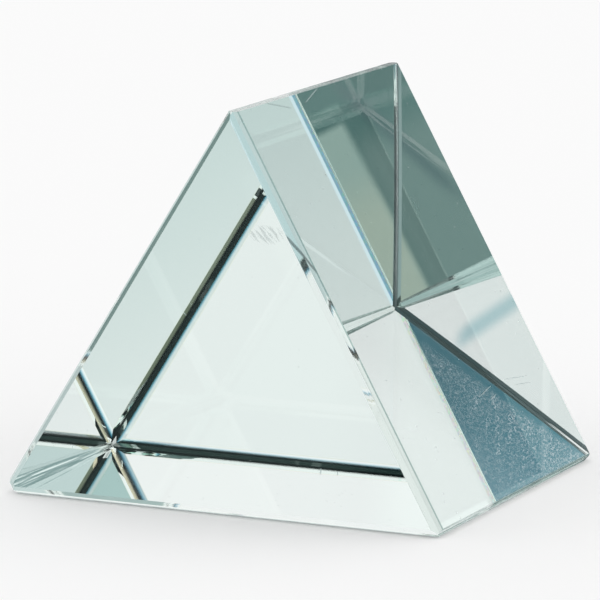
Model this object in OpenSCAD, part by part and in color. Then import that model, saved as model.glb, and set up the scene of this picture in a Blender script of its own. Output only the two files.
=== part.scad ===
// Solid equilateral glass prism with narrow flats and bevels ground on every edge and corner.
// It lies on one of its three long faces: X across, Y along the length, Z up to the top edge.
// The origin is the middle of the face that it lies on.

/* [Block] */
// Side of the triangular section, measured to where the polished faces would meet
side = 38; // [25:0.5:60]
// Length of the block between its two triangular end faces
block_length = 38; // [20:0.5:150]

/* [Long edges] */
// Width of the flat ground along the top edge and the right edge
edge_flat = 0.8; // [0.2:0.1:2.5]
// Width of the flat along the left edge, at the front end
left_flat_front = 1.3; // [0.2:0.1:2.5]
// Width of the same flat at the rear end
left_flat_rear = 0.3; // [0.2:0.1:2.5]

/* [Ends] */
// How far the shallow bevel round each end runs along the long faces
bevel_run = 0.5; // [0.2:0.1:3]
// How deep the shallow bevel goes
bevel_rise = 0.25; // [0.05:0.05:1]
// Size of the 45 degree chamfer between the shallow bevel and the end face
chamfer = 0.4; // [0.1:0.1:2]
// Size of the 45 degree facet that takes the point off each corner
corner_facet = 0.4; // [0.1:0.1:2]

/* [Hidden] */

glass_tint = [0.82, 0.89, 0.88];
face_count = 3;
face_turn = 360 / face_count;
section_height = side * sqrt(3) / 2;
half_length = block_length / 2;
// Distance of the three polished faces from the centre line of the block
face_reach = section_height / 3;
// Distance of a ground flat from the same line: it takes the tip off a 60 degree corner
function flat_reach(width) = 2 * face_reach - width * sqrt(3) / 2;
left_edge_turn = 2 * face_turn;

// Profiles at the ends of a long face and of a flat, as steps [along, down] from where they start
face_end = [[0, 0], [bevel_run, bevel_rise], [bevel_run + chamfer, bevel_rise + chamfer]];
flat_end = [[0, 0], [corner_facet, corner_facet]];

// Slab below a plane that runs from end to end of the block and drops by the given profile at both ends.
// The plane's distance above the centre line may differ from the front to the rear.
// The slab's other long faces lie outside the block.
module bevelled_slab(front_reach, rear_reach, profile) {
    last = len(profile) - 1;
    start = half_length - profile[last].x;
    rotate([90, 0, 90])
        linear_extrude(height = 2 * side, center = true)
            polygon([
                [half_length, -side],
                [-half_length, -side],
                for (i = [last : -1 : 0]) [-start - profile[i].x, front_reach - profile[i].y],
                for (step = profile) [start + step.x, rear_reach - step.y]
            ]);
}

// Three polished faces with the bevels and chamfers at their ends
module polished_faces() {
    intersection_for(turn = [face_turn / 2 : face_turn : 360])
        rotate([0, turn, 0])
            bevelled_slab(face_reach, face_reach, face_end);
}

// Flats along the top and right edges with the corner facets at their ends
module even_flats() {
    intersection_for(turn = [0, face_turn])
        rotate([0, turn, 0])
            bevelled_slab(flat_reach(edge_flat), flat_reach(edge_flat), flat_end);
}

// Flat along the left edge, which narrows towards the rear
module left_flat() {
    rotate([0, left_edge_turn, 0])
        bevelled_slab(flat_reach(left_flat_front), flat_reach(left_flat_rear), flat_end);
}

module prism_block() {
    color(glass_tint)
        translate([0, 0, face_reach])
            intersection() {
                polished_faces();
                even_flats();
                left_flat();
            }
}

prism_block();
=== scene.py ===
import math
from typing import NamedTuple

import bmesh
import bpy
from mathutils import Matrix, Vector, noise


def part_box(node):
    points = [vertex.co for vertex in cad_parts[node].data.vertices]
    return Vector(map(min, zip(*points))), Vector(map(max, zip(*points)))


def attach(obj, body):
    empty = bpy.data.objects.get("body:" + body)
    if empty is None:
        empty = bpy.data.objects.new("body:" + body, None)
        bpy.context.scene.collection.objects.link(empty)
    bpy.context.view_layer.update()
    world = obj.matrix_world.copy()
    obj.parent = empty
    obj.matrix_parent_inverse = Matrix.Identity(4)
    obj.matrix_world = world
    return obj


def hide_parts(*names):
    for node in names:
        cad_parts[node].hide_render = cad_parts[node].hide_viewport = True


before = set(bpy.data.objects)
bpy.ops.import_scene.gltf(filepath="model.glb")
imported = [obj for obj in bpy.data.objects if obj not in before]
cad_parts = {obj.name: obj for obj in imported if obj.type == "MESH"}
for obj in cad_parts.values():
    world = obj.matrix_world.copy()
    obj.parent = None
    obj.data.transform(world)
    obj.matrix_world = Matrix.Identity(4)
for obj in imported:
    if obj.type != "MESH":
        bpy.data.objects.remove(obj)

bl_info = {
    "name": "Glass Prism",
    "version": (1, 0, 0),
    "blender": (4, 5, 0),
    "location": "View3D > Sidebar > Prism",
    "description": "Models an equilateral glass prism with ground edges and sets it in a small studio",
    "category": "Object",
}

NODE = "prism_block"
BODY = "root"

CAD_LOW, CAD_HIGH = (Vector(corner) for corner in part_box(NODE))
LENGTH = CAD_HIGH.y - CAD_LOW.y
MM = 0.001
SQRT3 = math.sqrt(3)
CUT_TOLERANCE = 1e-7
# Least cosine between two directions that count as the same
SAME_DIRECTION = 0.99999
LEAST_FACES = 20


def direction(degrees):
    """Unit vector square to the block's length, turned from straight up towards +X."""
    turn = math.radians(degrees)
    return Vector((math.sin(turn), 0.0, math.cos(turn)))


TOP_EDGE, RIGHT_EDGE, LEFT_EDGE = direction(0), direction(120), direction(240)
RIGHT_FACE, BASE_FACE, LEFT_FACE = direction(60), direction(180), direction(300)
LONG_FACES = (RIGHT_FACE, BASE_FACE, LEFT_FACE)
FRONT, REAR = -1, 1
ALONG = Vector((0, 1, 0))
# Takes the part that runs along the block out of a direction
SECTION = Vector((1, 0, 1))

# Marks on the mesh that the glass reads
FACE_MARKS = ("ground", "bevel", "chamfer")
FACET_NUMBER = "facet"
FACET_PLACE = "facet_place"
# Keeps the random patterns of the facets apart
FACET_STEP = 37.0
# Coarseness of the end bevels and chamfers against the flats
BEVEL_GRIND, CHAMFER_GRIND = 0.1, 0.05

# Depth of the chips along the block and at the front end against those at the rear end
FLAT_CHIPS, FRONT_CHIPS = 2.4, 0.1
END_ZONE = 0.002
# Chips come from a slow and a quick noise: waves to the millimetre, and how deep each bites
SLOW_WAVE, QUICK_WAVE = 0.8, 2.7
SLOW_BITE, QUICK_BITE = 0.8, 0.7
MEAN_BITE, LEAST_BITE = 0.35, -0.15
QUICK_SHIFT = Vector((40, 0, 0))


class PrismShape(bpy.types.PropertyGroup):
    """Sizes of the block's ground edges."""

    edge_flat: bpy.props.FloatProperty(
        name="Edge flat", description="Width of the flat along the top edge and the right edge",
        default=0.0008, unit="LENGTH")
    left_flat_front: bpy.props.FloatProperty(
        name="Left flat, front", description="Width of the flat along the left edge at the front end",
        default=0.0013, unit="LENGTH")
    left_flat_rear: bpy.props.FloatProperty(
        name="Left flat, rear", description="Width of the same flat at the rear end",
        default=0.0003, unit="LENGTH")
    bevel_run: bpy.props.FloatProperty(
        name="Bevel run", description="How far the shallow end bevel runs along the long faces",
        default=0.0005, unit="LENGTH")
    bevel_rise: bpy.props.FloatProperty(
        name="Bevel rise", description="How deep the shallow end bevel goes",
        default=0.00025, unit="LENGTH")
    chamfer: bpy.props.FloatProperty(
        name="Chamfer", description="Size of the 45 degree chamfer round each end face",
        default=0.0004, unit="LENGTH")
    corner_facet: bpy.props.FloatProperty(
        name="Corner facet", description="Size of the 45 degree facet on each corner",
        default=0.0004, unit="LENGTH")
    chip_pitch: bpy.props.FloatProperty(
        name="Chip pitch", description="Distance between the points of a chipped edge",
        default=0.0003, unit="LENGTH")
    chip_depth: bpy.props.FloatProperty(
        name="Chip depth", description="How far the chips bite into a polished face",
        default=0.00005, unit="LENGTH")


class PrismGlass(bpy.types.PropertyGroup):
    """Finish of the glass."""

    index: bpy.props.FloatProperty(
        name="Index", description="Refractive index of crown glass", default=1.52)
    body_color: bpy.props.FloatVectorProperty(
        name="Body colour", description="Colour that is left after light passes through much glass",
        subtype="COLOR", size=3, min=0, max=1, default=(0.63, 0.98, 0.845))
    body_density: bpy.props.FloatProperty(
        name="Body density", description="Strength of the glass's own colour for each metre", default=5.0)
    fine_grind: bpy.props.FloatProperty(
        name="Fine grind", description="Roughness in the smooth streaks of the ground edges", default=0.01)
    coarse_grind: bpy.props.FloatProperty(
        name="Coarse grind", description="Roughness in the coarse streaks of the ground edges", default=0.06)
    dust: bpy.props.FloatProperty(
        name="Dust", description="How far the specks on the polished faces cover the glass", default=0.7)
    scratch: bpy.props.FloatProperty(
        name="Scratches", description="How far the hairline scratches cover the glass", default=0.35)
    haze: bpy.props.FloatProperty(
        name="Haze", description="How far the brush marks cover the right face", default=0.48)
    # Also the colour of the painted pale highlight on the ridge of the rear bevels
    dust_and_highlight_color: bpy.props.FloatVectorProperty(
        name="Dust colour", description="Colour of the dust and the scratches",
        subtype="COLOR", size=3, min=0, max=1, default=(0.80, 0.86, 0.87))
    haze_color: bpy.props.FloatVectorProperty(
        name="Haze colour", description="Colour of the brush marks, near that of the pale surroundings",
        subtype="COLOR", size=3, min=0, max=1, default=(0.92, 0.95, 0.96))
    # Colour of the painted warm light along the rear bevels
    painted_warm_color: bpy.props.FloatVectorProperty(
        name="Fringe colour", description="Colour of the warm fringes along the rear bevels",
        subtype="COLOR", size=3, min=0, max=1, default=(0.92, 0.84, 0.62))


class PrismStudio(bpy.types.PropertyGroup):
    """Camera and surroundings."""

    azimuth: bpy.props.FloatProperty(
        name="Azimuth", description="Camera's turn about the block, from straight in front to the right",
        subtype="ANGLE", default=math.radians(20.81))
    elevation: bpy.props.FloatProperty(
        name="Elevation", description="Camera's height angle",
        subtype="ANGLE", default=math.radians(9.33))
    roll: bpy.props.FloatProperty(
        name="Roll", description="Camera's tilt about its own axis",
        subtype="ANGLE", default=math.radians(1.74))
    distance: bpy.props.FloatProperty(
        name="Distance", description="From the aim point to the camera", default=0.4916, unit="LENGTH")
    lens: bpy.props.FloatProperty(
        name="Lens", description="Focal length on a 36 mm wide sensor, in millimetres", default=361.0)
    aim: bpy.props.FloatVectorProperty(
        name="Aim", description="Point that the camera looks at", size=3, unit="LENGTH",
        default=(-0.00084, 0.0, 0.01455))
    floor_color: bpy.props.FloatVectorProperty(
        name="Floor colour", description="Colour of the pale floor",
        subtype="COLOR", size=3, min=0, max=1, default=(0.96, 0.96, 0.96))
    low_wall: bpy.props.FloatVectorProperty(
        name="Low wall", description="Colour of the studio's pale walls below the block",
        subtype="COLOR", size=3, min=0, max=1, default=(0.88, 0.895, 0.895))
    high_wall: bpy.props.FloatVectorProperty(
        name="High wall", description="Colour of the studio's pale walls above the block",
        subtype="COLOR", size=3, min=0, max=1, default=(0.95, 0.93, 0.94))
    low_shade: bpy.props.FloatVectorProperty(
        name="Low shade", description="Colour of the shaded wall on the right, below the block",
        subtype="COLOR", size=3, min=0, max=1, default=(0.42, 0.57, 0.56))
    high_shade: bpy.props.FloatVectorProperty(
        name="High shade", description="Colour of the shaded wall on the right, above the block",
        subtype="COLOR", size=3, min=0, max=1, default=(0.58, 0.68, 0.68))


class Wire:
    """A number, colour or vector that flows in a node tree. Sums and products of numbers add Math nodes."""

    def __init__(self, graph, socket):
        self.graph = graph
        self.socket = socket

    def math(self, operation, *others):
        return self.graph.node("ShaderNodeMath", {"operation": operation}, 0, self, *others)

    def __add__(self, other):
        return self.math("ADD", other)

    __radd__ = __add__

    def __sub__(self, other):
        return self.math("SUBTRACT", other)

    def __rsub__(self, other):
        return self.graph.node("ShaderNodeMath", {"operation": "SUBTRACT"}, 0, other, self)

    def __mul__(self, other):
        return self.math("MULTIPLY", other)

    __rmul__ = __mul__

    def __neg__(self):
        return self * -1

    def __abs__(self):
        return self.math("ABSOLUTE")

    def least(self, other):
        return self.math("MINIMUM", other)

    def most(self, other):
        return self.math("MAXIMUM", other)

    def ramp(self, low, high):
        """Smooth step: 0 below low, 1 above high."""
        return self.graph.node(
            "ShaderNodeMapRange", {"interpolation_type": "SMOOTHSTEP"}, 0, self, low, high, 0.0, 1.0)

    def between(self, low, full, wane, high):
        """Smooth hump: 0 below low, 1 from full to wane, 0 above high."""
        return self.ramp(low, full) * (1 - self.ramp(wane, high))

    def split(self):
        """The three parts of a vector or a colour."""
        return self.graph.node("ShaderNodeSeparateXYZ", None, ("X", "Y", "Z"), self)


class Graph:
    """A node tree that is filled through one method."""

    def __init__(self, owner):
        owner.use_nodes = True
        self.tree = owner.node_tree
        self.tree.nodes.clear()

    def node(self, kind, settings=None, output=0, *inputs, **named):
        """Adds a node, applies its settings, then fills its sockets by order or by name.

        Gives the wire from one output, or a list of wires for several. None leaves a socket as it is.
        """
        made = self.tree.nodes.new(kind)
        for key, value in (settings or {}).items():
            setattr(made, key, value)
        slots = [(made.inputs[place], value) for place, value in enumerate(inputs)]
        slots += [(made.inputs[name.replace("_", " ")], value) for name, value in named.items()]
        for socket, value in slots:
            if isinstance(value, Wire):
                self.tree.links.new(value.socket, socket)
            elif value is not None:
                socket.default_value = value
        if isinstance(output, tuple):
            return [Wire(self, made.outputs[name]) for name in output]
        return Wire(self, made.outputs[output])

    def blend(self, share, low, high):
        """Colour mix from low to high by share. The mix's sockets for numbers and vectors stay unused."""
        unused = [None] * 5
        return self.node("ShaderNodeMix", {"data_type": "RGBA"}, 2, share, *unused, low, high)

    def cover(self, share, below, above):
        """Shader that shows the one above by share, and the one below elsewhere."""
        return self.node("ShaderNodeMixShader", None, 0, share.least(1.0), below, above)

    def vector(self, x, y, z):
        return self.node("ShaderNodeCombineXYZ", None, 0, x, y, z)

    def cells(self, place, scale):
        """Distance to the middle of the nearest random cell, and that cell's random colour."""
        return self.node("ShaderNodeTexVoronoi", None, ("Distance", "Color"), place, Scale=scale)


def rgba(color):
    return (*color, 1.0)


class BlockPlan:
    """The planes of the block, worked out from its box and the sizes of its ground edges."""

    def __init__(self, shape):
        self.shape = shape
        side = 2 * CAD_HIGH.x + shape.edge_flat
        self.face_reach = side / (2 * SQRT3)
        self.centre = Vector((0, 0, CAD_LOW.z + self.face_reach))

    def flat_reach(self, width):
        return 2 * self.face_reach - width * SQRT3 / 2

    def flats(self):
        """Direction of each flat along the long edges, and its reach at the front and at the rear."""
        shape = self.shape
        widths = ((TOP_EDGE, shape.edge_flat, shape.edge_flat),
                  (RIGHT_EDGE, shape.edge_flat, shape.edge_flat),
                  (LEFT_EDGE, shape.left_flat_front, shape.left_flat_rear))
        return [(out, self.flat_reach(front), self.flat_reach(rear)) for out, front, rear in widths]

    def cuts(self):
        """A point and a normal for each plane that is cut off the plain triangular block."""
        shape = self.shape
        flat_end = LENGTH / 2 - shape.corner_facet
        chamfer_start = LENGTH / 2 - shape.chamfer
        bevel_start = chamfer_start - shape.bevel_run
        for out, front, rear in self.flats():
            yield self.centre + out * (front + rear) / 2, out * 2 * flat_end + ALONG * (front - rear)
        for out in LONG_FACES:
            for end in (FRONT, REAR):
                bevel_line = out * self.face_reach + ALONG * end * bevel_start
                chamfer_line = out * (self.face_reach - shape.bevel_rise) + ALONG * end * chamfer_start
                yield self.centre + bevel_line, out * shape.bevel_run + ALONG * end * shape.bevel_rise
                yield self.centre + chamfer_line, out + ALONG * end
        for out, front, rear in self.flats():
            for end, reach in ((FRONT, front), (REAR, rear)):
                yield self.centre + out * reach + ALONG * end * flat_end, out + ALONG * end


def looks_along(normal, directions):
    """Whether a normal is the same as one of the given directions."""
    return max(normal.dot(each) for each in directions) > SAME_DIRECTION


def is_polished(normal):
    """Whether a face is one of the three long faces or the two end faces."""
    return looks_along(normal, (*LONG_FACES, ALONG, -ALONG))


def is_chamfer(normal):
    """Whether a facet is one of the 45 degree chamfers between an end face and a long face."""
    return looks_along(
        normal, [(face + ALONG * end).normalized() for face in LONG_FACES for end in (FRONT, REAR)])


def grind_of(normal):
    """How coarse a ground facet is: full on the flats and corners, fine on the end bevels and chamfers."""
    if is_chamfer(normal):
        return CHAMFER_GRIND
    return BEVEL_GRIND if looks_along((normal * SECTION).normalized(), LONG_FACES) else 1.0


def cut_away(point, normal):
    """Cuts the block with a plane, drops what lies on the normal's side and closes the cut."""
    bpy.ops.mesh.select_all(action="SELECT")
    bpy.ops.mesh.bisect(
        plane_co=point, plane_no=normal.normalized(), use_fill=True, clear_outer=True,
        threshold=CUT_TOLERANCE)


def cut_block(context, plan):
    """Cuts every flat, bevel, chamfer and corner facet off a plain triangular block."""
    bpy.ops.object.select_all(action="DESELECT")
    bpy.ops.mesh.primitive_cylinder_add(
        vertices=3, radius=2 * plan.face_reach, depth=LENGTH, location=plan.centre,
        rotation=(math.pi / 2, 0, 0))
    block = context.object
    block.name = "glass_block"
    bpy.ops.object.transform_apply(location=True, rotation=True, scale=True)
    bpy.ops.object.mode_set(mode="EDIT")
    for point, normal in plan.cuts():
        cut_away(point, normal)
    bpy.ops.mesh.select_all(action="SELECT")
    bpy.ops.mesh.normals_make_consistent(inside=False)
    bpy.ops.object.mode_set(mode="OBJECT")
    if len(block.data.polygons) < LEAST_FACES:
        raise RuntimeError(f"the block has only {len(block.data.polygons)} faces")
    return block


class Facet:
    """One of the block's faces as it is cut: its finish, and the directions along and across it."""

    def __init__(self, mesh, face):
        corners = [mesh.vertices[index].co.copy() for index in face.vertices]
        sides = [(before, after - before) for before, after in zip(corners, corners[1:] + corners[:1])]
        sides.sort(key=lambda side: side[1].length)
        self.polished = is_polished(face.normal)
        self.chamfer = is_chamfer(face.normal)
        self.coarseness = 0.0 if self.polished else grind_of(face.normal)
        self.bevel = self.coarseness == BEVEL_GRIND
        self.along = sides[-1][1].normalized()
        self.across = face.normal.cross(self.along)
        self.long_sides = [] if self.polished or self.bevel or self.chamfer else sides[-2:]
        inmost = min(corners, key=lambda corner: abs(corner.y))
        self.start = inmost if self.bevel or self.chamfer else face.center.copy()
        if (face.center - self.start).dot(self.across) < 0:
            self.across.negate()
            self.along.negate()

    def place(self, point):
        """Millimetres along and across the facet. A flat counts as one millimetre wide all along."""
        offset = (point - self.start) / MM
        along, across = offset.dot(self.along), offset.dot(self.across)
        if self.long_sides:
            edges = []
            for corner, side in self.long_sides:
                begin = (corner - self.start) / MM
                slope = side.dot(self.across) / side.dot(self.along)
                edges.append(begin.dot(self.across) + (along - begin.dot(self.along)) * slope)
            across = (across - min(edges)) / (max(edges) - min(edges))
        return along, across


def number_facets(mesh):
    """Lists the facets as they are cut, and numbers the mesh's faces to match."""
    facets = [Facet(mesh, face) for face in mesh.polygons]
    number = mesh.attributes.new(FACET_NUMBER, "INT", "FACE")
    for face in mesh.polygons:
        number.data[face.index].value = face.index
    return facets


def split_edges(block, pitch):
    """Splits every edge of the block into pieces of about one pitch."""
    middles = {}
    for edge in bmesh.from_edit_mesh(block.data).edges:
        cuts = round(edge.calc_length() / pitch) - 1
        if cuts > 0:
            middles.setdefault(cuts, []).append((edge.verts[0].co + edge.verts[1].co) / 2)
    for cuts, places in middles.items():
        mesh = bmesh.from_edit_mesh(block.data)
        for edge in mesh.edges:
            middle = (edge.verts[0].co + edge.verts[1].co) / 2
            edge.select_set(any((middle - place).length < CUT_TOLERANCE for place in places))
        bmesh.update_edit_mesh(block.data)
        bpy.ops.mesh.subdivide(number_cuts=cuts)
        bpy.ops.mesh.select_all(action="DESELECT")


def chip_bite(point):
    """How deep the edge is chipped at a point, against the depth at the rear end."""
    spot = point / MM
    slow, quick = noise.noise(spot * SLOW_WAVE), noise.noise(spot * QUICK_WAVE + QUICK_SHIFT)
    bite = max(MEAN_BITE + SLOW_BITE * slow + QUICK_BITE * quick, LEAST_BITE)
    if point.y < CAD_LOW.y + END_ZONE:
        return bite * FRONT_CHIPS
    if point.y < CAD_HIGH.y - END_ZONE:
        return bite * FLAT_CHIPS
    return bite


def chip_edges(block, depth):
    """Moves the points of the ground edges within the polished faces, so that the edges run uneven."""
    mesh = bmesh.from_edit_mesh(block.data)
    mesh.normal_update()
    moves = []
    for point in mesh.verts:
        faces = sorted(point.link_faces, key=lambda face: not is_polished(face.normal))
        if len(faces) != 2 or len(point.link_edges) != 2 or not is_polished(faces[0].normal):
            continue
        ends = [edge.other_vert(point).co for edge in point.link_edges]
        run = (ends[1] - ends[0]).normalized()
        inward = faces[0].normal.cross(run)
        if inward.dot(faces[0].calc_center_bounds() - point.co) < 0:
            inward.negate()
        moves.append((point, inward * depth * chip_bite(point.co)))
    for point, move in moves:
        point.co += move
    bmesh.update_edit_mesh(block.data)


def roughen_edges(block, facets, shape):
    """Chips the block's edges and splits its ground facets into triangles that follow them."""
    bpy.ops.object.mode_set(mode="EDIT")
    split_edges(block, shape.chip_pitch)
    chip_edges(block, shape.chip_depth)
    bpy.ops.mesh.select_all(action="DESELECT")
    mesh = bmesh.from_edit_mesh(block.data)
    number = mesh.faces.layers.int[FACET_NUMBER]
    for face in mesh.faces:
        face.select_set(not facets[face[number]].polished)
    bmesh.update_edit_mesh(block.data)
    bpy.ops.mesh.quads_convert_to_tris(quad_method="BEAUTY", ngon_method="BEAUTY")
    bpy.ops.object.mode_set(mode="OBJECT")


def mark_facets(mesh, facets):
    """Tells the glass how each face is finished, and where each point lies on its facet."""
    for name in FACE_MARKS:
        mesh.attributes.new(name, "FLOAT", "FACE")
    mesh.attributes.new(FACET_PLACE, "FLOAT_VECTOR", "CORNER")
    ground, bevel, chamfer = (mesh.attributes[name] for name in FACE_MARKS)
    place = mesh.attributes[FACET_PLACE]
    numbers = [value.value for value in mesh.attributes[FACET_NUMBER].data]
    for face in mesh.polygons:
        facet = facets[numbers[face.index]]
        ground.data[face.index].value = facet.coarseness
        bevel.data[face.index].value = float(facet.bevel)
        chamfer.data[face.index].value = float(facet.chamfer)
        for corner in face.loop_indices:
            along, across = facet.place(mesh.vertices[mesh.loops[corner].vertex_index].co)
            place.data[corner].vector = (along, across, FACET_STEP * numbers[face.index])


class PRISM_OT_block(bpy.types.Operator):
    """Model the glass block with its ground edges"""

    bl_idname = "prism.block"
    bl_label = "Glass Block"

    def execute(self, context):
        shape = context.scene.prism_shape
        plan = BlockPlan(shape)
        block = cut_block(context, plan)
        facets = number_facets(block.data)
        roughen_edges(block, facets, shape)
        mark_facets(block.data, facets)
        block.data.materials.append(glass_material(plan, context.scene.prism_glass))
        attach(block, BODY)
        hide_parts(NODE)
        return {"FINISHED"}


# Depth below a polished face that still counts as part of it, in millimetres
FACE_SKIN = 0.02
WHITE = (1.0, 1.0, 1.0, 1.0)


class GlassPoint:
    """Where a point of the glass lies, in millimetres, on what kind of face, and how light meets it."""

    def __init__(self, graph, plan, index):
        self.graph = graph
        self.plan = plan
        self.ground, self.bevel, self.chamfer = (self.mark(name, "Fac") for name in FACE_MARKS)
        self.place = self.mark(FACET_PLACE, "Vector")
        self.along, self.across, self.facet = self.place.split()
        position = graph.node("ShaderNodeTexCoord", None, "Object")
        self.x, self.y, self.z = (part * (1 / MM) for part in position.split())
        front, rear = 1 - self.y.ramp(-1, 0), self.y.ramp(0, 1)
        self.front_bevel, self.front_chamfer = self.bevel * front, self.chamfer * front
        self.rear_bevel, self.rear_chamfer = self.bevel * rear, self.chamfer * rear

        self.polished = 1 - self.ground.ramp(0.0, CHAMFER_GRIND)
        self.base = self.polished_face(self.reach(BASE_FACE), plan.face_reach)
        self.right_face = self.polished_face(self.reach(RIGHT_FACE), plan.face_reach)
        self.front_face = self.polished_face(-self.y, LENGTH / 2)
        self.rear_face = self.polished_face(self.y, LENGTH / 2)

        self.outside = 1 - graph.node("ShaderNodeNewGeometry", None, "Backfacing")
        self.fresnel = graph.node("ShaderNodeFresnel", None, 0, index)
        self.facing = graph.node("ShaderNodeLayerWeight", None, "Facing", 0.5)

    def mark(self, name, output):
        return self.graph.node("ShaderNodeAttribute", {"attribute_name": name}, output)

    def reach(self, out):
        """How far the point lies from the block's centre line in a direction."""
        return self.x * out.x + (self.z - self.plan.centre.z / MM) * out.z

    def polished_face(self, reach, distance):
        """1 on the polished face that lies at a distance in metres, else 0."""
        full = distance / MM
        return self.polished * reach.ramp(full - FACE_SKIN, full - FACE_SKIN / 2)

    def edge_gap(self):
        """Distance from a point of an end face to the nearest of the chamfers round it."""
        shape = self.plan.shape
        inner = (self.plan.face_reach - shape.bevel_rise - shape.chamfer) / MM
        right, base, left = (inner - self.reach(out) for out in LONG_FACES)
        return right.least(base).least(left)


class Grain(NamedTuple):
    """A random pattern: waves to the millimetre in two directions, detail, and the step that sharpens it."""

    first_waves: float
    second_waves: float
    detail: float
    low: float
    high: float

    def soft(self, graph, first, second, seed):
        """Soft random values about one half."""
        place = graph.vector(first * self.first_waves, second * self.second_waves, seed)
        return graph.node("ShaderNodeTexNoise", None, 0, place, Scale=1.0, Detail=self.detail)

    def sharpen(self, soft):
        """Spreads the soft values from 0 to 1."""
        return soft.ramp(self.low, self.high)

    def sharp(self, graph, first, second, seed):
        return self.sharpen(self.soft(graph, first, second, seed))


# Patterns of the ground edges, along and across a facet
STREAKS = Grain(0.035, 3.0, 1.0, 0.42, 0.68)
GRIT = Grain(3.0, 9.0, 2.0, 0.40, 0.75)
STREAK_SHARE = 0.7
# Roughness that the bevels and chamfers at the front end have on top
FRONT_GRIND = 0.06
# Height of the streaks on a flat of one millimetre, in metres, and that of the grit against it
STREAK_HEIGHT, GRIT_HEIGHT = 0.000055, 0.06


def ground_finish(point, glass):
    """Roughness and relief of the ground edges, with streaks along them."""
    graph, shape = point.graph, point.plan.shape
    streaks, grit = (
        grain.soft(graph, point.along, point.across, point.facet) for grain in (STREAKS, GRIT))
    grind = STREAKS.sharpen(streaks) * STREAK_SHARE + GRIT.sharpen(grit) * (1 - STREAK_SHARE)
    rough = point.ground * (glass.fine_grind + grind * (glass.coarse_grind - glass.fine_grind))
    rough = rough + (point.front_bevel + point.front_chamfer) * FRONT_GRIND

    mean_width = (shape.left_flat_front + shape.left_flat_rear) / 2 / MM
    taper = (shape.left_flat_front - shape.left_flat_rear) / LENGTH
    width = mean_width - point.y * taper
    height = point.ground * width * (streaks + grit * GRIT_HEIGHT)
    relief = graph.node("ShaderNodeBump", None, 0, Strength=1.0, Distance=STREAK_HEIGHT, Height=height)
    return rough, relief


# Dust: pitch of the specks in millimetres, the widest speck against it, its full core, and how few are wide
SPECK_PITCH, SPECK_RADIUS, SPECK_CORE, SPECK_POWER = 0.9, 0.15, 0.4, 3.0
# Share of the dust and the scratches that polished faces other than the base have
OTHER_DUST, OTHER_SCRATCHES = 0.12, 0.1


def dust_specks(point):
    """Round specks of many sizes, most of them on the base."""
    distance, luck = point.graph.cells(point.place, 1 / SPECK_PITCH)
    radius = luck.split()[0].math("POWER", SPECK_POWER) * SPECK_RADIUS
    specks = 1 - distance.ramp(radius * SPECK_CORE, radius)
    return specks * (OTHER_DUST + point.base * (1 - OTHER_DUST))


# Hairlines: waves to the millimetre along and across them, the step that draws them and the one that picks
HAIRLINE_WAVES, HAIRLINE_STEP, HAIRLINE_PICK = (0.16, 2.4), (0.03, 0.09), 0.8
# Angle of each set to its facet in radians, and the share of the cells that have a hairline
HAIRLINE_SETS = ((0.9, 0.04), (2.3, 0.03))


def hairlines(point, angle, share):
    """Short straight scratches at one angle, kept in the given share of their cells."""
    run, aside = math.cos(angle), math.sin(angle)
    lengthwise = (point.along * run + point.across * aside) * HAIRLINE_WAVES[0]
    sideways = (point.across * run - point.along * aside) * HAIRLINE_WAVES[1]
    distance, luck = point.graph.cells(point.graph.vector(lengthwise, sideways, point.facet), 1.0)
    picked = luck.split()[1].ramp(1 - share, 1 - share * HAIRLINE_PICK)
    return (1 - distance.ramp(*HAIRLINE_STEP)) * picked


# Share of a scratch's width that is full, and of its length over which each end fades
SCRATCH_CORE, SCRATCH_FADE = 0.4, 0.3


class Scratch(NamedTuple):
    """A straight scratch on the base: where it begins and ends, and half its width, in millimetres."""

    begin: tuple
    end: tuple
    half_width: float

    def cover(self, x, y):
        """How far the scratch covers a point: full along its middle, and less towards its ends."""
        run = Vector(self.end) - Vector(self.begin)
        length = run.length
        run.normalize()
        along = (x - self.begin[0]) * run.x + (y - self.begin[1]) * run.y
        aside = abs((y - self.begin[1]) * run.x - (x - self.begin[0]) * run.y)
        fade = length * SCRATCH_FADE
        line = 1 - aside.ramp(self.half_width * SCRATCH_CORE, self.half_width)
        return line * along.between(0, fade, length - fade, length)


BASE_SCRATCHES = (
    Scratch((1.1, 12.7), (-0.1, 17.9), 0.09),
    Scratch((2.4, 13.6), (1.6, 16.8), 0.06),
)
# How deep they are against the hairlines
BASE_SCRATCH_DEPTH = 2


def scratches(point):
    """Hairlines on all polished faces, and a few long scratches on the base."""
    first, second = (hairlines(point, angle, share) for angle, share in HAIRLINE_SETS)
    third, fourth = (scratch.cover(point.x, point.y) for scratch in BASE_SCRATCHES)
    lines = first + second + point.base * BASE_SCRATCH_DEPTH * (third + fourth)
    return lines * (OTHER_SCRATCHES + point.base * (1 - OTHER_SCRATCHES))


# Smudge on the front end: its middle in millimetres, how fast it fades, and the pattern of its hatching
SMUDGE_X, SMUDGE_Z = 3.4, 22.8
SMUDGE_WANE_X, SMUDGE_WANE_Z, SMUDGE_STEP = 0.6, 1.2, (0.3, 1.0)
HATCH, HATCH_SEED = Grain(3.5, 0.6, 2.0, 0.42, 0.62), 9.0


def smudge(point):
    """A hatched smudge near the top of the front end."""
    x, z = point.x, point.z
    aside, above = (x - SMUDGE_X) * SMUDGE_WANE_X, (z - SMUDGE_Z) * SMUDGE_WANE_Z
    spot = 1 - (aside * aside + above * above).ramp(*SMUDGE_STEP)
    return point.front_face * HATCH.sharp(point.graph, x + z, x - z, HATCH_SEED) * spot


# Patterns of the brush marks along and up the block, and of the strokes aslant in them
COARSE, COARSE_SEED = Grain(1.6, 3.4, 4.0, 0.35, 0.70), 5.0
FINE, FINE_SEED = Grain(3.6, 7.5, 1.0, 0.32, 0.72), 8.0
COARSE_SHARE, BRUSH_GRAIN = 0.4, (0.15, 0.95)
STROKES, STROKE_SEED = Grain(0.12, 0.5, 3.0, 0.45, 0.70), 0.0
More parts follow.
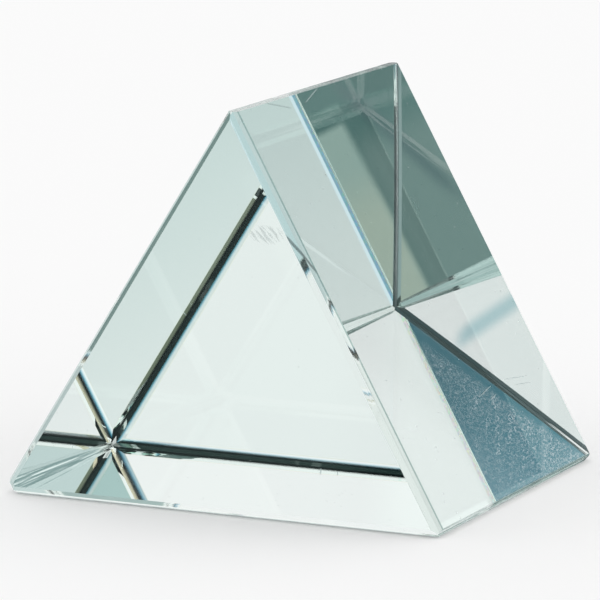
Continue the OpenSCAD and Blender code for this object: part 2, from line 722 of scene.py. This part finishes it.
# They begin along a stretch of the face, and lie below a line that falls towards the rear
BRUSH_START = (-9, -3)
BRUSH_TOP, BRUSH_FALL, BRUSH_STEP = 10.8, 0.571, (0.2, 1.2)
# How dense they are everywhere, in the strokes, and towards the rear
BRUSH_EVEN, BRUSH_STROKES, BRUSH_REAR, BRUSH_GROWTH = 0.3, 0.35, 0.45, (-5, 16)


def brush_marks(point):
    """Fine brush marks on the outside of the right face, on its lower part and denser towards the rear."""
    graph, y, z = point.graph, point.y, point.z
    strokes = STROKES.sharp(graph, y + z, y - z * 2, STROKE_SEED)
    coarse, fine = COARSE.sharp(graph, y, z, COARSE_SEED), FINE.sharp(graph, y, z, FINE_SEED)
    grain = coarse * COARSE_SHARE + fine * (1 - COARSE_SHARE)
    below = BRUSH_TOP - z - y * BRUSH_FALL
    inside = y.ramp(*BRUSH_START) * below.ramp(*BRUSH_STEP)
    density = BRUSH_EVEN + strokes * BRUSH_STROKES + y.ramp(*BRUSH_GROWTH) * BRUSH_REAR
    return point.right_face * point.outside * inside * density * grain.ramp(*BRUSH_GRAIN)


# Steps of the Fresnel share from light that passes the rear chamfers straight to light that they mirror
STRAIGHT, SLANTED, GRAZING, TOTAL = (0.044, 0.05), (0.08, 0.15), (0.18, 0.33), (0.90, 0.98)
# How far the chamfer's painted dark side shifts where light comes in grazing or slanted, in millimetres
GRAZING_SHIFT, SLANTED_SHIFT = 0.22, 0.10
# Steps across the chamfer, from its inner line, over which each colour of the painted rainbow fringe comes
# back
RED_STEP, GREEN_STEP, BLUE_STEP = (0.09, 0.50), (0.0, 0.47), (-0.02, 0.43)
# Painted coloured glints where light passes straight: cells to the millimetre and strength
PAINTED_GLINT_SCALE, PAINTED_GLINT_SHARE = 4.0, 0.5
# Width of the painted warm fringe on the rim of the rear end face in millimetres, and its colour
PAINTED_RIM_STEP, PAINTED_RIM_COLOR = (0.0, 0.12), (0.94, 0.92, 0.78)
# Width and colour of the painted dark line, painted shade, along the inner side of the front bevels
PAINTED_LINE_STEP, PAINTED_LINE_COLOR = (0.10, 0.20), (0.25, 0.38, 0.36)


def rounded_place(point):
    """Place across a rear chamfer as if it were slightly round: light that comes in grazing sees less. Only
    the painted fringes and the painted shade move with it; the chamfer itself stays flat.
    """
    fresnel = point.fresnel
    return point.across - fresnel.ramp(*GRAZING) * GRAZING_SHIFT + fresnel.ramp(*SLANTED) * SLANTED_SHIFT


def painted_edge_light_and_shade(point, round_place):
    """Colour of the glass, all of it painted light and shade: rainbow fringes and glints on the rear
    chamfers, a warm fringe on the rim of the rear end face, and a dark line at the front.
    """
    graph = point.graph
    parts = [round_place.ramp(*step) for step in (RED_STEP, GREEN_STEP, BLUE_STEP)]
    painted_rainbow = graph.vector(*(part * part for part in parts))
    slanted = point.fresnel.ramp(*STRAIGHT)
    color = graph.blend(point.rear_chamfer * slanted, WHITE, painted_rainbow)
    painted_glints = graph.cells(point.place, PAINTED_GLINT_SCALE)[1]
    color = graph.blend(point.rear_chamfer * (1 - slanted) * PAINTED_GLINT_SHARE, color, painted_glints)
    painted_rim = point.rear_face * (1 - point.edge_gap().ramp(*PAINTED_RIM_STEP))
    color = graph.blend(painted_rim, color, rgba(PAINTED_RIM_COLOR))
    line = point.front_bevel * (1 - point.across.ramp(*PAINTED_LINE_STEP))
    return graph.blend(line, color, rgba(PAINTED_LINE_COLOR))


# Values of Facing at which light meets the rear bevels: through the front end by one mirror image,
# straight through the right face, by the mirror images that stay dark, and by two mirror images
ONE_IMAGE, STRAIGHT_VIEW = (0.29, 0.31, 0.328, 0.342), (0.335, 0.342, 0.354, 0.362)
DARK_IMAGES, TWO_IMAGES = (0.62, 0.68, 0.75, 0.78), (0.79, 0.81, 0.83, 0.85)
# Painted shade on the dark sides of the rear chamfers: steps across them, and the values of Fresnel and
# Facing that show them
DARK_FRESNEL, DARK_STEP = (0.18, 0.25), (0.03, 0.36)
MIRROR_FACING, MIRROR_STEP, MIRROR_SHARE = (0.46, 0.49), (0.0, 0.25), 0.7
# Painted shade: dark curve across the right one of the front bevels, with its top, slope, half width, ends
# and strength
CURVE_TOP, CURVE_SLOPE, CURVE_STEP, CURVE_SHARE = 22.7, 0.31, (0.05, 0.16), 0.6
CURVE_X, CURVE_Z = (3, 4), (19.6, 20.6, 22.7, 23.1)


def painted_shade(point, round_place):
    """Painted shade: a dark shader where the ground edges lead no light to the eye."""
    fresnel, facing = point.fresnel, point.facing
    total = fresnel.ramp(*TOTAL)
    passed = (1 - total) * fresnel.ramp(*DARK_FRESNEL) * (1 - round_place.ramp(*DARK_STEP))
    mirrored = total * (1 - point.across.ramp(*MIRROR_STEP)) * (1 - facing.ramp(*MIRROR_FACING))
    chamfers = point.rear_chamfer * (passed + mirrored * MIRROR_SHARE)
    bevels = point.rear_bevel * facing.between(*DARK_IMAGES)
    drift = point.y + LENGTH / 2 / MM - (CURVE_TOP - point.z) * CURVE_SLOPE
    curve = (point.front_bevel + point.front_chamfer) * point.x.ramp(*CURVE_X) * CURVE_SHARE
    curve = curve * (1 - abs(drift).ramp(*CURVE_STEP)) * point.z.between(*CURVE_Z)
    return chamfers + bevels + curve


# Painted warm fringes and the painted pale highlight on the ridge of the rear bevels: steps across them and
# strengths
WARM_STEP, WARM_SHARE, WARM_IMAGE_SHARE = (-0.05, 0.45), 0.85, 0.9
RIDGE_STEP, RIDGE_SHARE = (0.1, 0.6), 0.4
SMUDGE_SHARE = 0.4


def painted_warm_fringes(point):
    """Painted warm light along the inner side of the rear bevels."""
    side = (1 - point.across.ramp(*WARM_STEP)) * point.facing.between(*ONE_IMAGE) * WARM_SHARE
    return point.rear_bevel * (side + point.facing.between(*TWO_IMAGES) * WARM_IMAGE_SHARE)


def dust_and_painted_ridge(point, glass):
    """Dust, scratches and the smudge on the polished faces, and a painted pale highlight on the ridge of the
    rear bevels.
    """
    painted_ridge = point.rear_bevel * point.across.ramp(*RIDGE_STEP) * point.facing.between(*STRAIGHT_VIEW)
    marks = point.polished * (dust_specks(point) * glass.dust + scratches(point) * glass.scratch)
    return smudge(point) * SMUDGE_SHARE + marks + painted_ridge * RIDGE_SHARE


# Colour of the painted shade on the ground edges where they lead no light to the eye
PAINTED_SHADE_COLOR = (0.012, 0.018, 0.018)


def glass_material(plan, glass):
    """Clear glass with polished faces and streaked ground edges, under dust, brush marks, painted fringes,
    painted highlights and painted shade.
    """
    material = bpy.data.materials.new("polished_and_ground_glass")
    graph = Graph(material)
    point = GlassPoint(graph, plan, glass.index)
    round_place = rounded_place(point)
    rough, relief = ground_finish(point, glass)
    # Its base colour carries the painted fringes, glints, warm rim and dark line
    clear = graph.node(
        "ShaderNodeBsdfPrincipled", None, 0, Base_Color=painted_edge_light_and_shade(point, round_place), Roughness=rough,
        Normal=relief, IOR=glass.index, Transmission_Weight=1.0)
    # Dust, scratches and the smudge, and the painted highlight on the rear bevels
    dust_and_ridge_bsdf = graph.node("ShaderNodeBsdfTranslucent", None, 0, Color=rgba(glass.dust_and_highlight_color))
    brushed = graph.node("ShaderNodeBsdfDiffuse", None, 0, Color=rgba(glass.haze_color))
    # Painted warm light along the rear bevels
    painted_warm_bsdf = graph.node("ShaderNodeBsdfTranslucent", None, 0, Color=rgba(glass.painted_warm_color))
    # Painted shade for the ground edges
    painted_dark = graph.node(
        "ShaderNodeBsdfPrincipled", None, 0, Base_Color=rgba(PAINTED_SHADE_COLOR), Roughness=1.0,
        Specular_IOR_Level=0.0)
    surface = graph.cover(dust_and_painted_ridge(point, glass), clear, dust_and_ridge_bsdf)
    surface = graph.cover(brush_marks(point) * glass.haze, surface, brushed)
    surface = graph.cover(painted_warm_fringes(point), surface, painted_warm_bsdf)
    surface = graph.cover(painted_shade(point, round_place), surface, painted_dark)
    body = graph.node(
        "ShaderNodeVolumeAbsorption", None, 0, Color=rgba(glass.body_color), Density=glass.body_density)
    graph.node("ShaderNodeOutputMaterial", None, (), Surface=surface, Volume=body)
    return material


FULL_TURN = 360


class Card(NamedTuple):
    """A card far off: its middle, half width and half height, softness, colour, slope and side softness.

    Turns go from straight behind the block towards +X, rises from level upwards, both in degrees.
    The side softness is that of the left and right ends, where it differs from the rest.
    """

    turn: float
    rise: float
    half_turn: float
    half_rise: float
    soft: float
    color: tuple
    slope: float = 0.0
    side_soft: float = 0.0

    def cover(self, turn, rise):
        """How far the card covers a direction, from 0 to 1."""
        aside = (turn - self.turn + 1.5 * FULL_TURN).math("MODULO", FULL_TURN) - FULL_TURN / 2
        above = abs(rise - self.rise - aside * self.slope) if self.slope else abs(rise - self.rise)
        side_soft = self.side_soft or self.soft
        return (1 - abs(aside).ramp(self.half_turn - side_soft, self.half_turn + side_soft)) * (
            1 - above.ramp(self.half_rise - self.soft, self.half_rise + self.soft))


CARDS = (
    # Black flags behind the camera, above it and to its right, which make the ground edges dark
    Card(145.5, 27, 23, 36, 1.5, (0.004, 0.008, 0.008)),
    Card(168, 10.5, 6, 5, 1, (0.01, 0.02, 0.02)),
    Card(136.8, -0.7, 5, 5, 2, (0.014, 0.026, 0.024)),
    Card(112, 50, 9, 7, 3, (0.16, 0.18, 0.13)),
    Card(110, 27, 4.5, 4, 1.5, (0.03, 0.05, 0.05)),
    Card(-72, 18.5, 6, 5, 2, (0.03, 0.05, 0.05)),
    Card(-134, 3.3, 5, 4, 2, (0.03, 0.05, 0.05)),
    Card(94, 5.8, 3, 3, 1, (0.03, 0.05, 0.05)),
    Card(122, -55, 24, 15, 3, (0.02, 0.03, 0.03)),
    Card(119, -23, 8, 6, 3, (0.03, 0.05, 0.05)),
    Card(86, -14, 9, 9, 3, (0.03, 0.04, 0.035)),
    Card(41, 63, 8, 6, 3, (0.05, 0.06, 0.05)),
    Card(45, 79, 45, 5, 2, (0.10, 0.19, 0.15)),
    Card(177, 24, 4, 4, 1, (0.03, 0.06, 0.06)),
    Card(-123.5, 46, 18.5, 12, 0.6, (0.02, 0.04, 0.045)),
    Card(-157.5, 38.2, 6, 5, 2, (0.03, 0.05, 0.05)),
    Card(-153.8, -37.2, 6, 5, 2, (0.03, 0.05, 0.05)),
    Card(176, -57, 7, 5, 2, (0.03, 0.05, 0.05)),
    Card(154, -42, 8, 7, 3, (0.05, 0.08, 0.08)),
    Card(155.1, -45.3, 1.5, 1.5, 0.4, (0.27, 0.36, 0.355)),
    # Gaps in the flags, which light the thin lines beside the left flat
    Card(155.9, 11.5, 3.2, 1.8, 0.8, (0.70, 0.80, 0.80)),
    Card(159.4, 15.8, 1.6, 1.4, 0.6, (0.20, 0.27, 0.24)),
    Card(144, 20.5, 4, 3.5, 2, (0.20, 0.30, 0.28)),
    # Dim low card in front of the block, with a paler one on it, its edge and two dark lines
    Card(178, -28, 20, 15, 4, (0.045, 0.125, 0.115)),
    Card(178.3, -20.9, 1.6, 0.62, 0.25, (0.125, 0.20, 0.185)),
    Card(177.5, -22.05, 1.08, 0.56, 0.05, (0.305, 0.42, 0.38)),
    Card(177.9, -22.05, 0.75, 0.56, 0.05, (0.40, 0.475, 0.40), 0.0, 0.35),
    Card(176.26, -21.9, 0.05, 0.45, 0.03, (0.12, 0.22, 0.20)),
    Card(176.8, -21.1, 0.8, 0.06, 0.08, (0.05, 0.10, 0.105), 0.35, 0.3),
    Card(-158, -12, 12, 7, 5, (0.38, 0.52, 0.50)),
    Card(-162.6, -11, 2.8, 3.2, 0.4, (0.03, 0.07, 0.075)),
    # Blue card on the left, lighter at one end, with the pale wall and two grey patches below it
    Card(-160.65, 17.738, 10.5, 8, 0.05, (0.025, 0.125, 0.175), -0.685),
    Card(-161.4, 14.1, 3.5, 4, 1.3, (0.055, 0.22, 0.30), 1.0),
    Card(-160.65, 7.738, 4, 2, 0.05, (0.938, 0.922, 0.931), -0.685),
    Card(-161.03, 9.44, 0.30, 0.09, 0.08, (0.50, 0.64, 0.69), 0.72),
    Card(-159.0, 7.0, 0.9, 1.1, 0.3, (0.45, 0.52, 0.52)),
    # Strips behind the block
    Card(-21, 7, 2.5, 1.6, 0.5, (0.36, 0.36, 0.37)),
    Card(-19.2, 10.6, 0.75, 1.6, 0.3, (1.0, 1.0, 1.0)),
    Card(-56, 25, 16, 8, 4, (0.80, 0.82, 0.81)),
    Card(-2.0, -21.4, 2.2, 3, 0.4, (0.10, 0.16, 0.16)),
    Card(-26.3, 39.6, 3, 3, 1, (1.0, 1.0, 1.0)),
    Card(48, -0.2, 3, 3, 1, (1.0, 1.0, 1.0)),
    Card(28.9, -9.2, 2.5, 2, 0.8, (0.34, 0.45, 0.44)),
    Card(6.6, -25.2, 1.6, 2.6, 0.6, (0.10, 0.19, 0.175)),
    Card(10.3, -28, 2, 3, 0.8, (0.80, 0.86, 0.86)),
    Card(4, -46.4, 3, 3, 1, (0.72, 0.86, 0.93)),
    Card(5, -50.6, 5, 1.2, 0.5, (0.47, 0.62, 0.64)),
    Card(5, -56.3, 6, 2, 1, (0.24, 0.46, 0.58)),
    Card(7, -69, 8, 4, 2, (0.49, 0.59, 0.60)),
    Card(1.5, -2.2, 2.5, 1.8, 0.6, (0.40, 0.52, 0.57)),
    Card(2, 2.5, 2.5, 1.8, 0.6, (0.92, 0.95, 0.95)),
    Card(6.2, 27.5, 2, 1.5, 0.6, (0.42, 0.50, 0.50)),
    Card(38.3, 5, 3, 4, 1.5, (0.10, 0.15, 0.15)),
    Card(15.93, 11.75, 3.12, 2.95, 0.25, (0.24, 0.34, 0.34)),
    Card(19.3, 7.9, 2.2, 1.9, 0.35, (0.82, 0.90, 0.90)),
    Card(22.9, 11.6, 1.3, 1.2, 0.3, (0.18, 0.27, 0.27)),
    Card(20.6, 15.6, 1.6, 1.3, 0.3, (0.12, 0.18, 0.17)),
)
# Rises over which the walls change colour, and turns between which the wall is shaded, in degrees
WALL_RISE = (-14, 14)
SHADED_TURNS = (-0.5, 8.5, 36, 46)

FLOOR_RADIUS = 3.0
FLOOR_SIDES = 96
# Keeps the floor from touching the block
FLOOR_GAP = 0.00005
SENSOR_WIDTH = 36.0
CLIP_START, CLIP_END = 0.01, 20.0
# Light takes many turns inside the block before it leaves
LIGHT_BOUNCES = 20


def seen_by_glass(graph):
    """1 for the rays that a reflection or a refraction sends out, else 0."""
    through, mirrored = graph.node("ShaderNodeLightPath", None, ("Is Transmission Ray", "Is Glossy Ray"))
    return through.most(mirrored)


def studio_world(world, studio):
    """White surroundings, in which the glass alone sees pale walls and a few cards."""
    graph = Graph(world)
    x, y, z = graph.node("ShaderNodeTexCoord", None, "Generated").split()
    turn = x.math("ARCTAN2", y) * math.degrees(1)
    rise = z.math("ARCSINE") * math.degrees(1)
    height = rise.ramp(*WALL_RISE)
    wall = graph.blend(height, rgba(studio.low_wall), rgba(studio.high_wall))
    shade = graph.blend(height, rgba(studio.low_shade), rgba(studio.high_shade))
    color = graph.blend(turn.between(*SHADED_TURNS), wall, shade)
    for card in CARDS:
        color = graph.blend(card.cover(turn, rise), color, rgba(card.color))
    seen = graph.blend(seen_by_glass(graph), WHITE, color)
    sky = graph.node("ShaderNodeBackground", None, 0, Color=seen, Strength=1.0)
    graph.node("ShaderNodeOutputWorld", None, (), Surface=sky)


def floor_material(color):
    """Pale paper that the glass doesn't see."""
    material = bpy.data.materials.new("pale_floor")
    graph = Graph(material)
    paper = graph.node("ShaderNodeBsdfDiffuse", None, 0, rgba(color))
    clear = graph.node("ShaderNodeBsdfTransparent")
    graph.node("ShaderNodeOutputMaterial", None, (), graph.cover(seen_by_glass(graph), paper, clear))
    return material


def studio_floor(context, studio):
    """Wide round floor just below the block."""
    bpy.ops.object.select_all(action="DESELECT")
    bpy.ops.mesh.primitive_circle_add(
        vertices=FLOOR_SIDES, radius=FLOOR_RADIUS, fill_type="NGON", location=(0, 0, CAD_LOW.z - FLOOR_GAP))
    floor = context.object
    floor.name = "studio_floor"
    bpy.ops.object.transform_apply(location=True, rotation=True, scale=True)
    floor.data.materials.append(floor_material(studio.floor_color))


def studio_camera(context, studio):
    """Camera that looks back at its aim from the studio's angles and distance."""
    level = math.cos(studio.elevation)
    right = Vector((math.cos(studio.azimuth), math.sin(studio.azimuth), 0))
    back = Vector((right.y * level, -right.x * level, math.sin(studio.elevation)))
    tilt = Matrix.Rotation(studio.roll, 3, back)
    turned = Matrix((tilt @ right, tilt @ back.cross(right), back)).transposed()
    bpy.ops.object.camera_add(
        location=Vector(studio.aim) + back * studio.distance, rotation=turned.to_euler())
    camera = context.object
    camera.data.sensor_width = SENSOR_WIDTH
    camera.data.lens = studio.lens
    camera.data.clip_start = CLIP_START
    camera.data.clip_end = CLIP_END
    return camera


class PRISM_OT_stage(bpy.types.Operator):
    """Set up the floor, the surroundings and the camera"""

    bl_idname = "prism.stage"
    bl_label = "Studio"

    def execute(self, context):
        scene = context.scene
        studio_floor(context, scene.prism_studio)
        scene.world = bpy.data.worlds.new("studio")
        studio_world(scene.world, scene.prism_studio)
        scene.camera = studio_camera(context, scene.prism_studio)
        scene.view_settings.view_transform = "Standard"
        scene.cycles.max_bounces = LIGHT_BOUNCES
        scene.cycles.glossy_bounces = LIGHT_BOUNCES
        scene.cycles.transmission_bounces = LIGHT_BOUNCES
        return {"FINISHED"}


class PRISM_PT_panel(bpy.types.Panel):
    """Sidebar panel with the prism's sizes and tools"""

    bl_idname = "PRISM_PT_panel"
    bl_label = "Glass Prism"
    bl_space_type = "VIEW_3D"
    bl_region_type = "UI"
    bl_category = "Prism"

    def draw(self, context):
        for group in (context.scene.prism_shape, context.scene.prism_glass, context.scene.prism_studio):
            for name in group.__annotations__:
                self.layout.prop(group, name)
        self.layout.operator(PRISM_OT_block.bl_idname)
        self.layout.operator(PRISM_OT_stage.bl_idname)


CLASSES = (PrismShape, PrismGlass, PrismStudio, PRISM_OT_block, PRISM_OT_stage, PRISM_PT_panel)


def register():
    for made in CLASSES:
        bpy.utils.register_class(made)
    bpy.types.Scene.prism_shape = bpy.props.PointerProperty(type=PrismShape)
    bpy.types.Scene.prism_glass = bpy.props.PointerProperty(type=PrismGlass)
    bpy.types.Scene.prism_studio = bpy.props.PointerProperty(type=PrismStudio)


def unregister():
    del bpy.types.Scene.prism_studio
    del bpy.types.Scene.prism_glass
    del bpy.types.Scene.prism_shape
    for made in reversed(CLASSES):
        bpy.utils.unregister_class(made)


def main():
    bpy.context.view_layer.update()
    register()
    bpy.ops.prism.block()
    bpy.ops.prism.stage()


if __name__ == "__main__":
    main()
